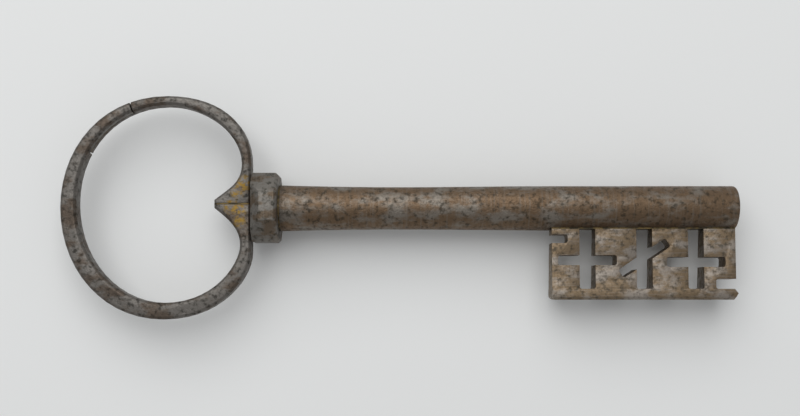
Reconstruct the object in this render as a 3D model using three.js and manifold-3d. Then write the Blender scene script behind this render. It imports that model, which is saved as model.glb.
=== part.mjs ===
// An iron barrel key: a hooped bow with a pointed cusp, an eight-sided collar,
// a drilled shank and a bit with ward cuts, brazed together with brass.
// Millimetres. X runs along the shank to the tip, the bit hangs towards -Y,
// and the bow and the bit lie flat in the XY plane.
import * as THREE from 'three';
import { mergeVertices } from 'three/addons/utils/BufferGeometryUtils.js';
import Module from 'manifold-3d';

const wasm = await Module();
wasm.setup();

// Overall
const OVERALL_LENGTH = 150;
const BOW_END_X = -OVERALL_LENGTH / 2;
const TIP_X = OVERALL_LENGTH / 2;

// Brass films that hold the pieces together
const BRAZE_THICKNESS = 0.3;
const FITTING_GAP = 0.3;

// Bow
const BOW_WIDTH = 42.4;
const BOW_HALF_HEIGHT = 24.8;
const BOW_SHOULDER_HEIGHT = 9.8;
const BAR_DEPTH = 4.4;
const BAR_BEVEL = 0.55;
const BAR_WIDTH_LEFT = 3.5;
const BAR_WIDTH_TOP = 2;
const BAR_WIDTH_BOTTOM = 3.7;
const BAR_WIDTH_ROOT = 2.3;
const CUSP_REACH = 8.2;
const CUSP_RISE = 0.85;
const CUSP_TIP_HEIGHT = 1.8;
const LAP_START_ANGLE = 107;
const LAP_END_ANGLE = 143;

// Collar
const COLLAR_LENGTH = 5.9;
const COLLAR_ACROSS_FLATS = 15.2;
const COLLAR_RIM_CHAMFER = 0.6;
const COLLAR_BOW_CHAMFER = 2;

// Shank
const SHANK_ROOT_RADIUS = 5.1;
const SHANK_WAIST_RADIUS = 4.7;
const SHANK_BIT_RADIUS = 4.95;
const SHANK_TIP_ROUND = 0.6;
const SPIGOT_RADIUS = 3.7;
const BORE_RADIUS = 3.1;
const BORE_DEPTH = 50;
const DRILL_POINT_LENGTH = 1.8;
const SHANK_SIDES = 48;

// Bit
const BIT_LENGTH = 40.6;
const BIT_REACH = 20.4;
const BIT_ROOT_THICKNESS = 4.2;
const BIT_FOOT_THICKNESS = 6;
const FOOT_RIB_THICKNESS = 6.6;
const FOOT_RIB_HEIGHT = 2.4;
const FOOT_BEVEL = 0.6;
const FOOT_NOSE_REACH = 0.4;
const BIT_SEAT_DEPTH = 0.55;
const BIT_CORNER_ROUND = 1;
const SLOT_CORNER_ROUND = 0.5;

// Ward cuts, measured from the heel of the bit and down from the shank's axis
const WARD_SLOT_WIDTH = 3.5;
const WARD_ARM_WIDTH = 2.2;
const FIRST_SLOT_FROM_HEEL = 7.85;
const SECOND_SLOT_FROM_HEEL = 20.45;
const THIRD_SLOT_FROM_HEEL = 31.85;
const FIRST_ARM_DROP = 11.65;
const THIRD_ARM_DROP = 12.05;
const CROSS_ARM_LENGTH = 13;
const SLANT_ARM_LENGTH = 12.6;
const SLANT_ARM_ANGLE = 34;
const SLANT_ARM_DROP = 11.2;
const HEEL_NOTCH_DEPTH = 3.5;
const HEEL_NOTCH_WIDTH = 1.9;
const HEEL_NOTCH_DROP = 6.9;
const FRONT_NOTCH_DEPTH = 4.4;
const FRONT_NOTCH_WIDTH = 2.2;
const FRONT_NOTCH_DROP = 16.9;

// Places that follow from the sizes above
const BOW_FACE_X = BOW_END_X + BOW_WIDTH;
const COLLAR_START_X = BOW_FACE_X + BRAZE_THICKNESS;
const COLLAR_END_X = COLLAR_START_X + COLLAR_LENGTH;
const SHOULDER_X = COLLAR_END_X + BRAZE_THICKNESS;
const BIT_FRONT_X = TIP_X - FOOT_NOSE_REACH;
const HEEL_X = BIT_FRONT_X - BIT_LENGTH;
const SEAT_Y = -(SHANK_BIT_RADIUS - BIT_SEAT_DEPTH);
const BIT_ROOT_Y = SEAT_Y - BRAZE_THICKNESS;
const CUSP_BASE_X = BOW_FACE_X - BAR_WIDTH_ROOT;
const CUSP_TIP_X = BOW_FACE_X - CUSP_REACH;
const BOW_CENTRE_X = BOW_END_X + 0.53 * BOW_WIDTH;

// Turns a closed three.js geometry into a solid that can be joined and cut
function solid(geometry) {
  const plain = geometry.index ? geometry.toNonIndexed() : geometry.clone();
  plain.deleteAttribute('normal');
  plain.deleteAttribute('uv');
  const merged = mergeVertices(plain, 1e-5);
  return new wasm.Manifold(new wasm.Mesh({
    numProp: 3,
    vertProperties: new Float32Array(merged.attributes.position.array),
    triVerts: new Uint32Array(merged.index.array),
  }));
}

// Turns a solid back into a geometry with flat faces
function geometryOf(body) {
  const mesh = body.getMesh();
  const geometry = new THREE.BufferGeometry();
  geometry.setAttribute('position', new THREE.BufferAttribute(mesh.vertProperties, 3));
  geometry.setIndex(new THREE.BufferAttribute(mesh.triVerts, 1));
  return geometry;
}

// A block given by its lowest and highest corners
function block(low, high) {
  const size = high.map((value, axis) => value - low[axis]);
  const middle = high.map((value, axis) => (value + low[axis]) / 2);
  return solid(new THREE.BoxGeometry(...size).translate(...middle));
}

// An outline in XY pushed out along Z, centred on the XY plane
function plate(outline, thickness, curveSteps = 6) {
  const geometry = new THREE.ExtrudeGeometry(outline, {
    depth: thickness, bevelEnabled: false, curveSegments: curveSteps,
  });
  return solid(geometry.translate(0, 0, -thickness / 2));
}

// A profile of [x, radius] points turned about the X axis
function turned(profile, sides) {
  const points = profile.map(([x, radius]) => new THREE.Vector2(radius, x));
  const geometry = new THREE.LatheGeometry(points, sides);
  return solid(geometry.rotateZ(-Math.PI / 2).rotateX(Math.PI / sides));
}

// One quarter of the bow's hoop, from a point where it runs along one axis
// to a point where it runs along the other
function quarter(outline, from, to, startsUpright, fullness) {
  const [startFullness, endFullness] = fullness;
  const dx = to[0] - from[0];
  const dy = to[1] - from[1];
  if (startsUpright) {
    outline.bezierCurveTo(
      from[0], from[1] + startFullness * dy,
      to[0] - endFullness * dx, to[1],
      to[0], to[1],
    );
  } else {
    outline.bezierCurveTo(
      from[0] + startFullness * dx, from[1],
      to[0], to[1] - endFullness * dy,
      to[0], to[1],
    );
  }
}

// The hoop before it is parted: a bar bent to a kidney shape whose ends
// turn in to the pointed cusp
function bowBlank() {
  const far = [BOW_END_X, 0];
  const top = [BOW_CENTRE_X + 1.4, BOW_HALF_HEIGHT];
  const bottom = [BOW_CENTRE_X + 0.4, -BOW_HALF_HEIGHT];
  const upperShoulder = [BOW_FACE_X, BOW_SHOULDER_HEIGHT];
  const lowerShoulder = [BOW_FACE_X, -BOW_SHOULDER_HEIGHT];
  const outer = new THREE.Shape();
  outer.moveTo(...far);
  quarter(outer, far, bottom, true, [0.55, 0.59]);
  quarter(outer, bottom, lowerShoulder, false, [0.63, 0.39]);
  outer.lineTo(...upperShoulder);
  quarter(outer, upperShoulder, top, true, [0.63, 0.59]);
  quarter(outer, top, far, false, [0.6, 0.55]);

  const innerFar = [BOW_END_X + BAR_WIDTH_LEFT, 1];
  const innerTop = [top[0], BOW_HALF_HEIGHT - BAR_WIDTH_TOP];
  const innerBottom = [bottom[0], -BOW_HALF_HEIGHT + BAR_WIDTH_BOTTOM];
  const upperRoot = [CUSP_BASE_X + 0.2, BOW_SHOULDER_HEIGHT];
  const lowerRoot = [CUSP_BASE_X - 0.2, -BOW_SHOULDER_HEIGHT + 1.5];
  const upperTip = [CUSP_TIP_X, CUSP_RISE + CUSP_TIP_HEIGHT / 2];
  const lowerTip = [CUSP_TIP_X, CUSP_RISE - CUSP_TIP_HEIGHT / 2];
  const inner = new THREE.Path();
  inner.moveTo(...innerFar);
  quarter(inner, innerFar, innerTop, true, [0.58, 0.57]);
  quarter(inner, innerTop, upperRoot, false, [0.52, 0.49]);
  inner.bezierCurveTo(
    upperRoot[0], upperRoot[1] - 4.2,
    upperTip[0] + 3.2, upperTip[1] + 2.5,
    ...upperTip,
  );
  inner.lineTo(...lowerTip);
  inner.bezierCurveTo(
    lowerTip[0] + 3.2, lowerTip[1] - 2.5,
    lowerRoot[0], lowerRoot[1] + 3.6,
    ...lowerRoot,
  );
  quarter(inner, lowerRoot, innerBottom, true, [0.28, 0.7]);
  quarter(inner, innerBottom, innerFar, false, [0.55, 0.57]);
  outer.holes.push(inner);

  const geometry = new THREE.ExtrudeGeometry(outer, {
    depth: BAR_DEPTH - 2 * BAR_BEVEL,
    bevelEnabled: true,
    bevelThickness: BAR_BEVEL,
    bevelSize: BAR_BEVEL,
    bevelOffset: -BAR_BEVEL,
    bevelSegments: 1,
    curveSegments: 14,
  });
  return solid(geometry.translate(0, 0, -BAR_DEPTH / 2 + BAR_BEVEL));
}

// The part of the hoop's neighbourhood between two directions from its centre
function sector(fromAngle, toAngle, lowZ, highZ) {
  const reach = 2 * BOW_HALF_HEIGHT;
  const outline = new THREE.Shape();
  outline.moveTo(BOW_CENTRE_X, 0);
  for (const angle of [fromAngle, (fromAngle + toAngle) / 2, toAngle]) {
    const turn = THREE.MathUtils.degToRad(angle);
    outline.lineTo(BOW_CENTRE_X + reach * Math.cos(turn), reach * Math.sin(turn));
  }
  return plate(outline, highZ - lowZ).translate([0, 0, (lowZ + highZ) / 2]);
}

// The hoop's two arms meet in the cusp and in a half lap at the upper left
function bowPieces() {
  const blank = bowBlank();
  const reach = 2 * BOW_HALF_HEIGHT;
  const halfFilm = BRAZE_THICKNESS / 2;
  const gapAngle = THREE.MathUtils.radToDeg(FITTING_GAP / BOW_HALF_HEIGHT);
  const seamLow = CUSP_RISE - halfFilm;
  const seamHigh = CUSP_RISE + halfFilm;
  const aboveSeam = block(
    [BOW_CENTRE_X, seamHigh, -reach],
    [BOW_FACE_X + reach, reach, reach],
  );
  const belowSeam = block(
    [BOW_CENTRE_X, -reach, -reach],
    [BOW_FACE_X + reach, seamLow, reach],
  );
  const seam = block(
    [BOW_CENTRE_X, seamLow, -reach],
    [BOW_FACE_X + reach, seamHigh, reach],
  );
  const upLeft = sector(90, LAP_START_ANGLE - gapAngle, -reach, reach);
  const behindLap = sector(90, LAP_END_ANGLE - gapAngle, -reach, -halfFilm);
  const downLeft = sector(LAP_END_ANGLE, 270, -reach, reach);
  const frontOfLap = sector(LAP_START_ANGLE, LAP_END_ANGLE + 1, halfFilm, reach);
  const lap = sector(LAP_START_ANGLE, LAP_END_ANGLE - gapAngle, -halfFilm, halfFilm);
  return {
    upper: blank.intersect(aboveSeam.add(upLeft).add(behindLap)),
    lower: blank.intersect(belowSeam.add(downLeft).add(frontOfLap)),
    cuspSeam: blank.intersect(seam),
    lapFilm: blank.intersect(lap),
  };
}

// The thin brass layer between the bow's flat root and the collar
function bowRootFilm() {
  const filmHalfHeight = COLLAR_ACROSS_FLATS / 2 - COLLAR_BOW_CHAMFER;
  return block(
    [BOW_FACE_X, -filmHalfHeight, -BAR_DEPTH / 2 + BAR_BEVEL],
    [COLLAR_START_X, filmHalfHeight, BAR_DEPTH / 2 - BAR_BEVEL],
  );
}

// An eight-sided ring, its front and back flats cut back towards the bow
function collar() {
  const half = COLLAR_ACROSS_FLATS / 2;
  const cornerRadius = half / Math.cos(Math.PI / 8);
  const body = turned([
    [COLLAR_START_X, 0],
    [COLLAR_START_X, cornerRadius],
    [COLLAR_END_X - COLLAR_RIM_CHAMFER, cornerRadius],
    [COLLAR_END_X, cornerRadius - COLLAR_RIM_CHAMFER],
    [COLLAR_END_X, 0],
  ], 8);
  const side = new THREE.Shape();
  side.moveTo(COLLAR_START_X, -half + COLLAR_BOW_CHAMFER);
  side.lineTo(COLLAR_START_X + COLLAR_BOW_CHAMFER, -half);
  side.lineTo(COLLAR_END_X, -half);
  side.lineTo(COLLAR_END_X, half);
  side.lineTo(COLLAR_START_X + COLLAR_BOW_CHAMFER, half);
  side.lineTo(COLLAR_START_X, half - COLLAR_BOW_CHAMFER);
  const envelope = plate(side, 2 * cornerRadius).rotate([90, 0, 0]);
  const hole = turned([
    [COLLAR_START_X - 1, 0],
    [COLLAR_START_X - 1, SPIGOT_RADIUS + FITTING_GAP],
    [COLLAR_END_X + 1, SPIGOT_RADIUS + FITTING_GAP],
    [COLLAR_END_X + 1, 0],
  ], SHANK_SIDES);
  return body.intersect(envelope).subtract(hole);
}

// The brass ring between the collar and the shank's shoulder
function collarFilm() {
  const outline = new THREE.Shape().absarc(0, 0, SHANK_ROOT_RADIUS, 0, 2 * Math.PI);
  outline.holes.push(new THREE.Path().absarc(0, 0, SPIGOT_RADIUS + FITTING_GAP, 0, 2 * Math.PI));
  const ring = plate(outline, BRAZE_THICKNESS, SHANK_SIDES / 2).rotate([0, 90, 0]);
  return ring.translate([COLLAR_END_X + BRAZE_THICKNESS / 2, 0, 0]);
}

// The shank narrows from its shoulder to a waist, swells again over the bit,
// and is drilled from the tip to take the lock's pin
function shank() {
  const waistX = SHOULDER_X + 0.45 * (HEEL_X - SHOULDER_X);
  const outside = [[COLLAR_START_X, 0], [COLLAR_START_X, SPIGOT_RADIUS], [SHOULDER_X, SPIGOT_RADIUS]];
  const steps = 6;
  for (let step = 0; step <= steps; step += 1) {
    const along = step / steps;
    const radius = SHANK_WAIST_RADIUS + (SHANK_ROOT_RADIUS - SHANK_WAIST_RADIUS) * (1 - along) ** 2;
    outside.push([SHOULDER_X + along * (waistX - SHOULDER_X), radius]);
  }
  for (let step = 1; step <= steps; step += 1) {
    const along = step / steps;
    const ease = along * along * (3 - 2 * along);
    const radius = SHANK_WAIST_RADIUS + (SHANK_BIT_RADIUS - SHANK_WAIST_RADIUS) * ease;
    outside.push([waistX + along * (HEEL_X - waistX), radius]);
  }
  const roundSteps = 3;
  for (let step = 0; step <= roundSteps; step += 1) {
    const turn = (step / roundSteps) * (Math.PI / 2);
    outside.push([
      TIP_X - SHANK_TIP_ROUND * (1 - Math.sin(turn)),
      SHANK_BIT_RADIUS - SHANK_TIP_ROUND * (1 - Math.cos(turn)),
    ]);
  }
  const boreEnd = TIP_X - BORE_DEPTH;
  outside.push([TIP_X, BORE_RADIUS], [boreEnd, BORE_RADIUS], [boreEnd - DRILL_POINT_LENGTH, 0]);
  const seat = block(
    [HEEL_X - FITTING_GAP, -2 * SHANK_BIT_RADIUS, -SHANK_BIT_RADIUS],
    [TIP_X + 1, SEAT_Y, SHANK_BIT_RADIUS],
  );
  return turned(outside, SHANK_SIDES).subtract(seat);
}

// The brass layer between the shank's flat seat and the bit's root
function bitFilm() {
  return block(
    [HEEL_X, BIT_ROOT_Y, -BIT_ROOT_THICKNESS / 2],
    [BIT_FRONT_X, SEAT_Y, BIT_ROOT_THICKNESS / 2],
  );
}

// A slot with filed, slightly rounded corners, cut right through the bit
function slotCutter(length, width) {
  const x = length / 2;
  const y = width / 2;
  const r = SLOT_CORNER_ROUND;
  const outline = new THREE.Shape();
  outline.moveTo(-x + r, -y);
  outline.lineTo(x - r, -y);
  outline.absarc(x - r, -y + r, r, -Math.PI / 2, 0);
  outline.lineTo(x, y - r);
  outline.absarc(x - r, y - r, r, 0, Math.PI / 2);
  outline.lineTo(-x + r, y);
  outline.absarc(-x + r, y - r, r, Math.PI / 2, Math.PI);
  outline.lineTo(-x, -y + r);
  outline.absarc(-x + r, -y + r, r, Math.PI, 1.5 * Math.PI);
  return plate(outline, 2 * FOOT_RIB_THICKNESS, 3);
}

// The bit: a plate that thickens towards its foot rib, with two crosses,
// a slanted cut and two edge notches for the wards of the lock
function bit() {
  const footY = -BIT_REACH;
  const ribY = footY + FOOT_RIB_HEIGHT;
  const face = new THREE.Shape();
  face.moveTo(HEEL_X, BIT_ROOT_Y);
  face.lineTo(HEEL_X, footY + BIT_CORNER_ROUND);
  face.absarc(HEEL_X + BIT_CORNER_ROUND, footY + BIT_CORNER_ROUND, BIT_CORNER_ROUND, Math.PI, 1.5 * Math.PI);
  face.lineTo(BIT_FRONT_X - FOOT_NOSE_REACH, footY);
  face.lineTo(TIP_X, footY + 0.6 * FOOT_RIB_HEIGHT);
  face.lineTo(BIT_FRONT_X - FOOT_NOSE_REACH, ribY);
  face.lineTo(BIT_FRONT_X, ribY);
  face.lineTo(BIT_FRONT_X, BIT_ROOT_Y);

  const end = new THREE.Shape();
  const root = BIT_ROOT_THICKNESS / 2;
  const foot = BIT_FOOT_THICKNESS / 2;
  const rib = FOOT_RIB_THICKNESS / 2;
  end.moveTo(BIT_ROOT_Y, -root);
  end.lineTo(BIT_ROOT_Y, root);
  end.lineTo(ribY, foot);
  end.lineTo(ribY, rib);
  end.lineTo(footY + FOOT_BEVEL, rib);
  end.lineTo(footY, rib - FOOT_BEVEL);
  end.lineTo(footY, -rib + FOOT_BEVEL);
  end.lineTo(footY + FOOT_BEVEL, -rib);
  end.lineTo(ribY, -rib);
  end.lineTo(ribY, -foot);
  const endGeometry = new THREE.ExtrudeGeometry(end, { depth: BIT_LENGTH + 2, bevelEnabled: false });
  const swell = new THREE.Matrix4().makeBasis(
    new THREE.Vector3(0, 1, 0),
    new THREE.Vector3(0, 0, 1),
    new THREE.Vector3(1, 0, 0),
  );
  endGeometry.applyMatrix4(swell).translate(HEEL_X - 1, 0, 0);
  let body = plate(face, 2 * FOOT_RIB_THICKNESS, 4).intersect(solid(endGeometry));

  const slotLength = 2 * (BIT_REACH - FOOT_RIB_HEIGHT + BIT_ROOT_Y);
  const slotFromHeel = [FIRST_SLOT_FROM_HEEL, SECOND_SLOT_FROM_HEEL, THIRD_SLOT_FROM_HEEL];
  for (const fromHeel of slotFromHeel) {
    const cutter = slotCutter(WARD_SLOT_WIDTH, slotLength);
    body = body.subtract(cutter.translate([HEEL_X + fromHeel, BIT_ROOT_Y, 0]));
  }
  const crossArms = [[FIRST_SLOT_FROM_HEEL, FIRST_ARM_DROP], [THIRD_SLOT_FROM_HEEL, THIRD_ARM_DROP]];
  for (const [fromHeel, drop] of crossArms) {
    const cutter = slotCutter(CROSS_ARM_LENGTH, WARD_ARM_WIDTH);
    body = body.subtract(cutter.translate([HEEL_X + fromHeel, -drop, 0]));
  }
  const slantArm = slotCutter(SLANT_ARM_LENGTH, WARD_ARM_WIDTH).rotate([0, 0, SLANT_ARM_ANGLE]);
  body = body.subtract(slantArm.translate([HEEL_X + SECOND_SLOT_FROM_HEEL, -SLANT_ARM_DROP, 0]));
  const heelNotch = slotCutter(2 * HEEL_NOTCH_DEPTH, HEEL_NOTCH_WIDTH);
  body = body.subtract(heelNotch.translate([HEEL_X, -HEEL_NOTCH_DROP, 0]));
  const frontNotch = slotCutter(2 * FRONT_NOTCH_DEPTH, FRONT_NOTCH_WIDTH);
  return body.subtract(frontNotch.translate([BIT_FRONT_X, -FRONT_NOTCH_DROP, 0]));
}

const filedIron = new THREE.MeshStandardMaterial({ color: 0x76706a, roughness: 0.45, metalness: 0.9 });
const brownedIron = new THREE.MeshStandardMaterial({ color: 0x7a6c5c, roughness: 0.5, metalness: 0.85 });
const brass = new THREE.MeshStandardMaterial({ color: 0xa88a4c, roughness: 0.45, metalness: 0.9 });

const key = new THREE.Group();

function addPiece(name, body, material) {
  const mesh = new THREE.Mesh(geometryOf(body), material.clone());
  mesh.name = name;
  key.add(mesh);
}

const bow = bowPieces();
addPiece('bow_upper_arm', bow.upper, filedIron);
addPiece('bow_lower_arm', bow.lower, filedIron);
addPiece('braze_bow_lap', bow.lapFilm, brass);
addPiece('braze_cusp_seam', bow.cuspSeam, brass);
addPiece('braze_bow_to_collar', bowRootFilm(), brass);
addPiece('collar', collar(), filedIron);
addPiece('braze_collar_to_shank', collarFilm(), brass);
addPiece('shank', shank(), brownedIron);
addPiece('braze_bit_to_shank', bitFilm(), brass);
addPiece('bit', bit(), brownedIron);

export default key;
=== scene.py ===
# %% [markdown]
# # An old iron barrel key
# The key comes in as solids at their real size. Here each solid gets the look of
# the real thing: hand-filed wrought iron, darkened and browned by age, with the
# yellow of brazing brass left in the joints.

# %% Load the key's solids
import math

import bmesh
import bpy
from mathutils import Matrix, Vector


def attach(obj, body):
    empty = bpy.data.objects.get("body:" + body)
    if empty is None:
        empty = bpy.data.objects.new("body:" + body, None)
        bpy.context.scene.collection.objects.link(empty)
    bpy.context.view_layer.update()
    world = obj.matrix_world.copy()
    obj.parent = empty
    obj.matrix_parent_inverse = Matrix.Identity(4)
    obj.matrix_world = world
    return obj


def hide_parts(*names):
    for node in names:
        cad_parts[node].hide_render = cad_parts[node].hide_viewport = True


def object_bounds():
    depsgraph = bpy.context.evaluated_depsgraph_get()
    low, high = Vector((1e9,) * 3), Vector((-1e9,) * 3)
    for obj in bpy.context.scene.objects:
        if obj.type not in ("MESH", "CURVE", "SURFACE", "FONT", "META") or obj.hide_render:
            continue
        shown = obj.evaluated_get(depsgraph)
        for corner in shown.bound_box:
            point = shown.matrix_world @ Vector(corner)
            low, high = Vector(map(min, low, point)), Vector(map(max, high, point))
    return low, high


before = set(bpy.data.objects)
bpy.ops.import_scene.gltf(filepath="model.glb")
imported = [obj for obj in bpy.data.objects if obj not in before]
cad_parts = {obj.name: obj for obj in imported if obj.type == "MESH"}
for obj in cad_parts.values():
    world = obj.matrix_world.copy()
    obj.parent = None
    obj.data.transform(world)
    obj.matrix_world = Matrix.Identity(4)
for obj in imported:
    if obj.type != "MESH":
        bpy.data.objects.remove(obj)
cad_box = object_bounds()
MM = 0.001
print("solids:", sorted(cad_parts))

# %% [markdown]
# ## Camera
# The key was photographed from straight above, close by, and the optical axis met
# the table below the picture's middle. A tilted camera could frame the key like
# that too, but the key's sides would then converge. A small upward shift of the
# lens frames it without a tilt.

# %% Camera
PICTURE_WIDTH = 800
MM_PER_PIXEL = 0.2234
CAMERA_HEIGHT = 234.6 * MM
CAMERA_X = 0.4 * MM
SENSOR_WIDTH = 36
AXIS_BELOW_MIDDLE = 92
KEY_AXIS_ABOVE_OPTICAL_AXIS = 91.6 * MM_PER_PIXEL * MM
NEAREST_SEEN = 0.01

camera_data = bpy.data.cameras.new("camera")
camera_data.sensor_width = SENSOR_WIDTH
view_width = PICTURE_WIDTH * MM_PER_PIXEL * MM
camera_data.lens = SENSOR_WIDTH * CAMERA_HEIGHT / view_width
camera_data.shift_y = AXIS_BELOW_MIDDLE / PICTURE_WIDTH
camera_data.clip_start = NEAREST_SEEN
camera = bpy.data.objects.new("camera", camera_data)
camera.location = (CAMERA_X, -KEY_AXIS_ABOVE_OPTICAL_AXIS, CAMERA_HEIGHT)
bpy.context.scene.collection.objects.link(camera)
bpy.context.scene.camera = camera
print("lens in mm:", round(camera_data.lens, 1))

# %% [markdown]
# ## Nodes and colours
# A colour is written as a painter would pick it, in hex, and one function turns it
# into linear light. Every finish is built from nodes, so one helper sets or links a
# node's inputs and another adds a node. Laying the nodes out by hand in the editor
# would give the same finish, but code can be read from top to bottom.


# %% Helpers for finishes
def linear(hex_colour):
    """The linear colour of an sRGB hex value such as #8a857e."""
    channels = [int(hex_colour[i:i + 2], 16) / 255 for i in (1, 3, 5)]
    bent = [c / 12.92 if c <= 0.04045 else ((c + 0.055) / 1.055) ** 2.4 for c in channels]
    return (*bent, 1)


def connect(tree, node, **inputs):
    """Sets or links a node's inputs.

    An input has its name in the editor, with _ for a space, or its number, as i0.
    A node given as the value is linked by its first output that is in use.
    """
    for name, value in inputs.items():
        numbered = name[0] == "i" and name[1:].isdigit()
        socket = node.inputs[int(name[1:]) if numbered else name.replace("_", " ")]
        if isinstance(value, bpy.types.Node):
            value = next(output for output in value.outputs if output.enabled)
        if isinstance(value, bpy.types.NodeSocket):
            tree.links.new(value, socket)
        else:
            socket.default_value = value


def add(tree, kind, settings=None, **inputs):
    """Adds a node, sets its properties, and sets or links its inputs."""
    node = tree.nodes.new(kind)
    for name, value in (settings or {}).items():
        setattr(node, name, value)
    connect(tree, node, **inputs)
    return node


def new_finish(name):
    """A new material, with its nodes, its shader and the place on the piece."""
    material = bpy.data.materials.new(name)
    material.use_nodes = True
    tree = material.node_tree
    place = add(tree, "ShaderNodeTexCoord").outputs["Object"]
    return material, tree, tree.nodes["Principled BSDF"], place


EASED = {"interpolation_type": "SMOOTHSTEP"}
COLOURED = {"data_type": "RGBA"}
print("mid grey in linear light:", round(linear("#808080")[0], 3))

# %% [markdown]
# ## Patterns in millimetres
# The marks on old iron are uneven, so they come from noise. It reads the place on
# the piece itself and repeats so many times a millimetre along the key, across it
# and through it: few times along and many across gives long thin file marks, and
# the same number each way gives round specks. A picture of rust would be quicker,
# but it would smear over the sides.

# %% Noise of a real size
PATINA_CLOUDS = (0.16, 0.3, 0.3)
RUST_SPECKS = (0.9, 0.9, 0.9)
PITS = (2.2, 2.2, 2.2)
TARNISH_PATCHES = (0.5, 0.5, 0.5)


def marks(tree, place, repeats_per_mm, detail=4.0):
    """Noise that repeats so many times a millimetre along X, Y and Z."""
    scale = [repeats / MM for repeats in repeats_per_mm]
    stretched = add(tree, "ShaderNodeMapping", Vector=place, Scale=scale)
    return add(
        tree, "ShaderNodeTexNoise",
        Vector=stretched, Scale=1.0, Detail=detail, Roughness=0.6,
    )


print("a rust speck in mm:", round(1 / RUST_SPECKS[0], 1))

# %% [markdown]
# ## Iron
# Wrought iron that was filed by hand, handled for centuries and lightly rusted: a
# metal with a dull grey sheen, brown patina in clouds, dark rust specks, and paler
# file strokes where the bare metal shows. Its roughness follows the specks, since
# rust scatters light and rubbed metal doesn't. The strokes and the pits are too
# shallow to model, so they are bumps.

# %% The iron's colour
BRASS_TRACE = "#92763a"


def aged_colour(tree, place, specks, strokes, bright, brown, dark, brown_share):
    """Bare metal under clouds of brown, dark specks and bright strokes."""
    browned = add(
        tree, "ShaderNodeMapRange", EASED,
        Value=marks(tree, place, PATINA_CLOUDS),
        From_Min=0.56 - 0.3 * brown_share, From_Max=0.62 - 0.1 * brown_share,
    )
    rusted = add(
        tree, "ShaderNodeMapRange", EASED,
        Value=specks, From_Min=0.48, From_Max=0.68, To_Max=0.75,
    )
    filed = add(
        tree, "ShaderNodeMapRange", EASED,
        Value=strokes, From_Min=0.52, From_Max=0.66, To_Max=0.3,
    )
    colour = linear(bright)
    for share, layer in ((browned, brown), (rusted, dark), (filed, bright)):
        colour = add(tree, "ShaderNodeMix", COLOURED, i0=share, i6=colour, i7=linear(layer))
    return colour


def brass_traces(tree, place, specks, colour, spots):
    """Lays speckled brass over a colour, round points given in millimetres."""
    speckled = add(
        tree, "ShaderNodeMapRange", EASED, Value=specks, From_Min=0.42, From_Max=0.6,
    )
    for centre, reach in spots:
        away = add(
            tree, "ShaderNodeVectorMath", {"operation": "DISTANCE"},
            i0=place, i1=[c * MM for c in centre],
        )
        near = add(
            tree, "ShaderNodeMapRange", EASED,
            Value=away, From_Min=reach * MM, From_Max=0.4 * reach * MM,
        )
        share = add(tree, "ShaderNodeMath", {"operation": "MULTIPLY"}, i0=near, i1=speckled)
        colour = add(
            tree, "ShaderNodeMix", COLOURED, i0=share, i6=colour, i7=linear(BRASS_TRACE),
        )
    return colour


# %% The iron finish
IRON_METALLIC = 0.9
STROKE_DEPTH = 0.05 * MM
PIT_DEPTH = 0.12 * MM


def iron(name, bright, brown, dark, brown_share, strokes_per_mm, brass_spots=()):
    """Filed and aged wrought iron, with traces of brass at the given spots."""
    material, tree, shader, place = new_finish(name)
    specks = marks(tree, place, RUST_SPECKS, 6.0)
    strokes = marks(tree, place, strokes_per_mm, 3.0)
    colour = aged_colour(tree, place, specks, strokes, bright, brown, dark, brown_share)
    colour = brass_traces(tree, place, specks, colour, brass_spots)
    rough = add(
        tree, "ShaderNodeMapRange", EASED,
        Value=specks, From_Min=0.3, From_Max=0.7, To_Min=0.42, To_Max=0.62,
    )
    pitted = add(
        tree, "ShaderNodeMapRange", EASED,
        Value=marks(tree, place, PITS, 3.0), From_Min=0.3, From_Max=0.5,
    )
    filed = add(
        tree, "ShaderNodeBump", Strength=0.35, Distance=STROKE_DEPTH, Height=strokes,
    )
    worn = add(
        tree, "ShaderNodeBump", Strength=0.4, Distance=PIT_DEPTH, Height=pitted, Normal=filed,
    )
    connect(
        tree, shader,
        Base_Color=colour, Roughness=rough, Metallic=IRON_METALLIC, Normal=worn,
    )
    return material


# %% [markdown]
# ## Where the file went
# The bow was filed along its hoop, so the marks on its rims are thin through the
# key's depth. The collar and the shank were filed across, and the bit along. The
# bow and the collar are the greyer pieces, the shank and the bit the browner ones,
# and a little brass ran out over the cusp.

# %% The key's four irons
BOW_STROKES = (0.35, 0.35, 5.0)
ACROSS_STROKES = (1.7, 0.12, 0.12)
ALONG_STROKES = (0.12, 2.6, 2.6)
CUSP_BRASS = (
    ((-34.0, 5.3, 2.2), 2.4),
    ((-35.6, 3.4, 2.2), 1.9),
    ((-37.0, 0.2, 2.2), 2.2),
    ((-35.2, -0.6, 2.2), 2.0),
    ((-35.2, -3.1, 2.2), 1.8),
)

bow_iron = iron(
    "forged_iron_bow", "#716d68", "#5c5249", "#2b2924", 0.35, BOW_STROKES, CUSP_BRASS,
)
collar_iron = iron("filed_iron_collar", "#77736d", "#66594b", "#35342c", 0.3, ACROSS_STROKES)
shank_iron = iron("browned_iron_shank", "#7d766d", "#6d5a47", "#38332a", 0.75, ACROSS_STROKES)
bit_iron = iron("browned_iron_bit", "#8d857c", "#766652", "#48433a", 0.6, ALONG_STROKES)
print("iron finishes:", bow_iron.name, collar_iron.name, shank_iron.name, bit_iron.name)

# %% [markdown]
# ## Brazing brass
# The joints were run full of molten brass, which has dulled to a brownish yellow
# with darker tarnish in patches. It shows only as thin lines, so two shades of one
# colour are enough, and it is rougher where it is tarnished.

# %% The brass finish
BRASS_METALLIC = 0.8


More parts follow.
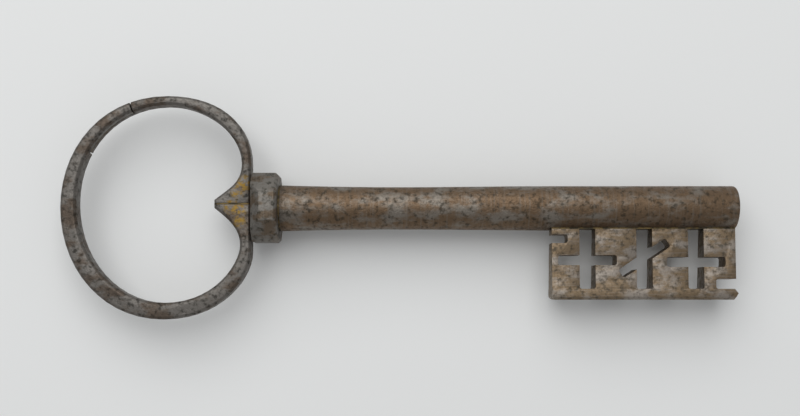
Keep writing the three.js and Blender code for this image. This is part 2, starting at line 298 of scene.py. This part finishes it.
def brazing_brass():
    """Dulled brass filler with darker tarnish in patches."""
    material, tree, shader, place = new_finish("dulled_brazing_brass")
    tarnish = marks(tree, place, TARNISH_PATCHES)
    share = add(tree, "ShaderNodeMapRange", EASED, Value=tarnish, From_Min=0.4, From_Max=0.6)
    colour = add(
        tree, "ShaderNodeMix", COLOURED,
        i0=share, i6=linear("#6b5a38"), i7=linear("#3d382c"),
    )
    rough = add(
        tree, "ShaderNodeMapRange", EASED,
        Value=tarnish, From_Min=0.3, From_Max=0.7, To_Min=0.4, To_Max=0.65,
    )
    connect(tree, shader, Base_Color=colour, Roughness=rough, Metallic=BRASS_METALLIC)
    return material


braze = brazing_brass()
print("brass finish:", braze.name)

# %% [markdown]
# ## Worn edges
# Every arris on an old key is rounded by the file and by pockets. A Bevel modifier
# could round them, but the solids come in as loose triangles, whose flat faces are
# cut up by edges. So a copy of each iron solid is merged, its flat triangles are
# joined into whole faces, and its sharp edges are bevelled by a fraction of a
# millimetre. The copy stands in for the solid, at the same place and size.

# %% A piece with worn edges
MERGE_WITHIN = 0.002 * MM
FLAT = math.radians(0.4)
SHARP = math.radians(24)
CREASE = math.radians(35)


def worn_copy(node, material, wear):
    """A copy of a solid whose sharp edges are rounded by wear, in millimetres."""
    shape = bmesh.new()
    shape.from_mesh(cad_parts[node].data)
    bmesh.ops.remove_doubles(shape, verts=shape.verts, dist=MERGE_WITHIN)
    bmesh.ops.dissolve_limit(shape, angle_limit=FLAT, verts=shape.verts, edges=shape.edges)
    sharp = [e for e in shape.edges if len(e.link_faces) == 2 and e.calc_face_angle() > SHARP]
    bmesh.ops.bevel(
        shape, geom=sharp, affect="EDGES", offset=wear * MM, offset_type="OFFSET",
        segments=2, profile=0.5, clamp_overlap=True, material=-1,
    )
    for face in shape.faces:
        face.smooth = True
    for edge in shape.edges:
        if len(edge.link_faces) == 2 and edge.calc_face_angle() > CREASE:
            edge.smooth = False
    mesh = bpy.data.meshes.new(node + "_worn")
    shape.to_mesh(mesh)
    shape.free()
    mesh.materials.append(material)
    piece = bpy.data.objects.new(node + "_worn", mesh)
    bpy.context.scene.collection.objects.link(piece)
    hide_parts(node)
    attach(piece, "root")
    print(node, "faces:", len(mesh.polygons))


# %% The iron pieces
BOW_WEAR = 0.12
COLLAR_WEAR = 0.15
SHANK_WEAR = 0.1
BIT_WEAR = 0.12

worn_copy("bow_upper_arm", bow_iron, BOW_WEAR)
worn_copy("bow_lower_arm", bow_iron, BOW_WEAR)
worn_copy("collar", collar_iron, COLLAR_WEAR)
worn_copy("shank", shank_iron, SHANK_WEAR)
worn_copy("bit", bit_iron, BIT_WEAR)

# %% [markdown]
# ## Brass layers
# The brass between the pieces already has its right shape as a solid, a layer that
# fills the joint. It stays as it is and only gets the brass finish.

# %% Brass layers
brass_nodes = [node for node in sorted(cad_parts) if node.startswith("braze_")]
for node in brass_nodes:
    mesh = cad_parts[node].data
    mesh.materials.clear()
    mesh.materials.append(braze)
print("brass layers:", brass_nodes)

# %% [markdown]
# ## Table
# The key lies on a pale matt table. It is a flat sheet at the height of the key's
# lowest point, and a rough paint with little gloss keeps the key from mirroring in it.

# %% Table
TABLE_REACH = 0.6
TABLE_COLOUR = "#e6e7e6"
TABLE_ROUGHNESS = 0.9
TABLE_GLOSS = 0.2
TABLE_HEIGHT = cad_box[0][2]

table_shape = bmesh.new()
bmesh.ops.create_grid(table_shape, x_segments=1, y_segments=1, size=TABLE_REACH)
table_mesh = bpy.data.meshes.new("table")
table_shape.to_mesh(table_mesh)
table_shape.free()
table_mesh.transform(Matrix.Translation((0, 0, TABLE_HEIGHT)))
table = bpy.data.objects.new("table", table_mesh)
bpy.context.scene.collection.objects.link(table)
table_paint = bpy.data.materials.new("matt_table")
table_paint.use_nodes = True
connect(
    table_paint.node_tree, table_paint.node_tree.nodes["Principled BSDF"],
    Base_Color=linear(TABLE_COLOUR), Roughness=TABLE_ROUGHNESS, Specular_IOR_Level=TABLE_GLOSS,
)
table_mesh.materials.append(table_paint)
print("table height in mm:", round(TABLE_HEIGHT / MM, 1))

# %% [markdown]
# ## Light
# The bright line along the upper half of the shank tells where the light was: above
# the far side of the key, and broad. One large square lamp gives that, with a weak
# even fill all round. A small lamp or a sun would give hard shadows.

# %% Light
LAMP_PLACE = (-0.12, 0.42, 0.6)
LAMP_SIZE = 0.9
LAMP_WATTS = 4.6
FILL_COLOUR = "#f2f3f5"
FILL_STRENGTH = 0.5

lamp_data = bpy.data.lights.new("main_lamp", "AREA")
lamp_data.shape = "SQUARE"
lamp_data.size = LAMP_SIZE
lamp_data.energy = LAMP_WATTS
lamp = bpy.data.objects.new("main_lamp", lamp_data)
lamp.location = LAMP_PLACE
lamp.rotation_euler = (-Vector(LAMP_PLACE)).to_track_quat("-Z", "Y").to_euler()
bpy.context.scene.collection.objects.link(lamp)

world = bpy.data.worlds.new("room")
world.use_nodes = True
connect(
    world.node_tree, world.node_tree.nodes["Background"],
    Color=linear(FILL_COLOUR), Strength=FILL_STRENGTH,
)
bpy.context.scene.world = world
bpy.context.scene.view_settings.view_transform = "Standard"
print("lamp's distance in mm:", round(Vector(LAMP_PLACE).length / MM))
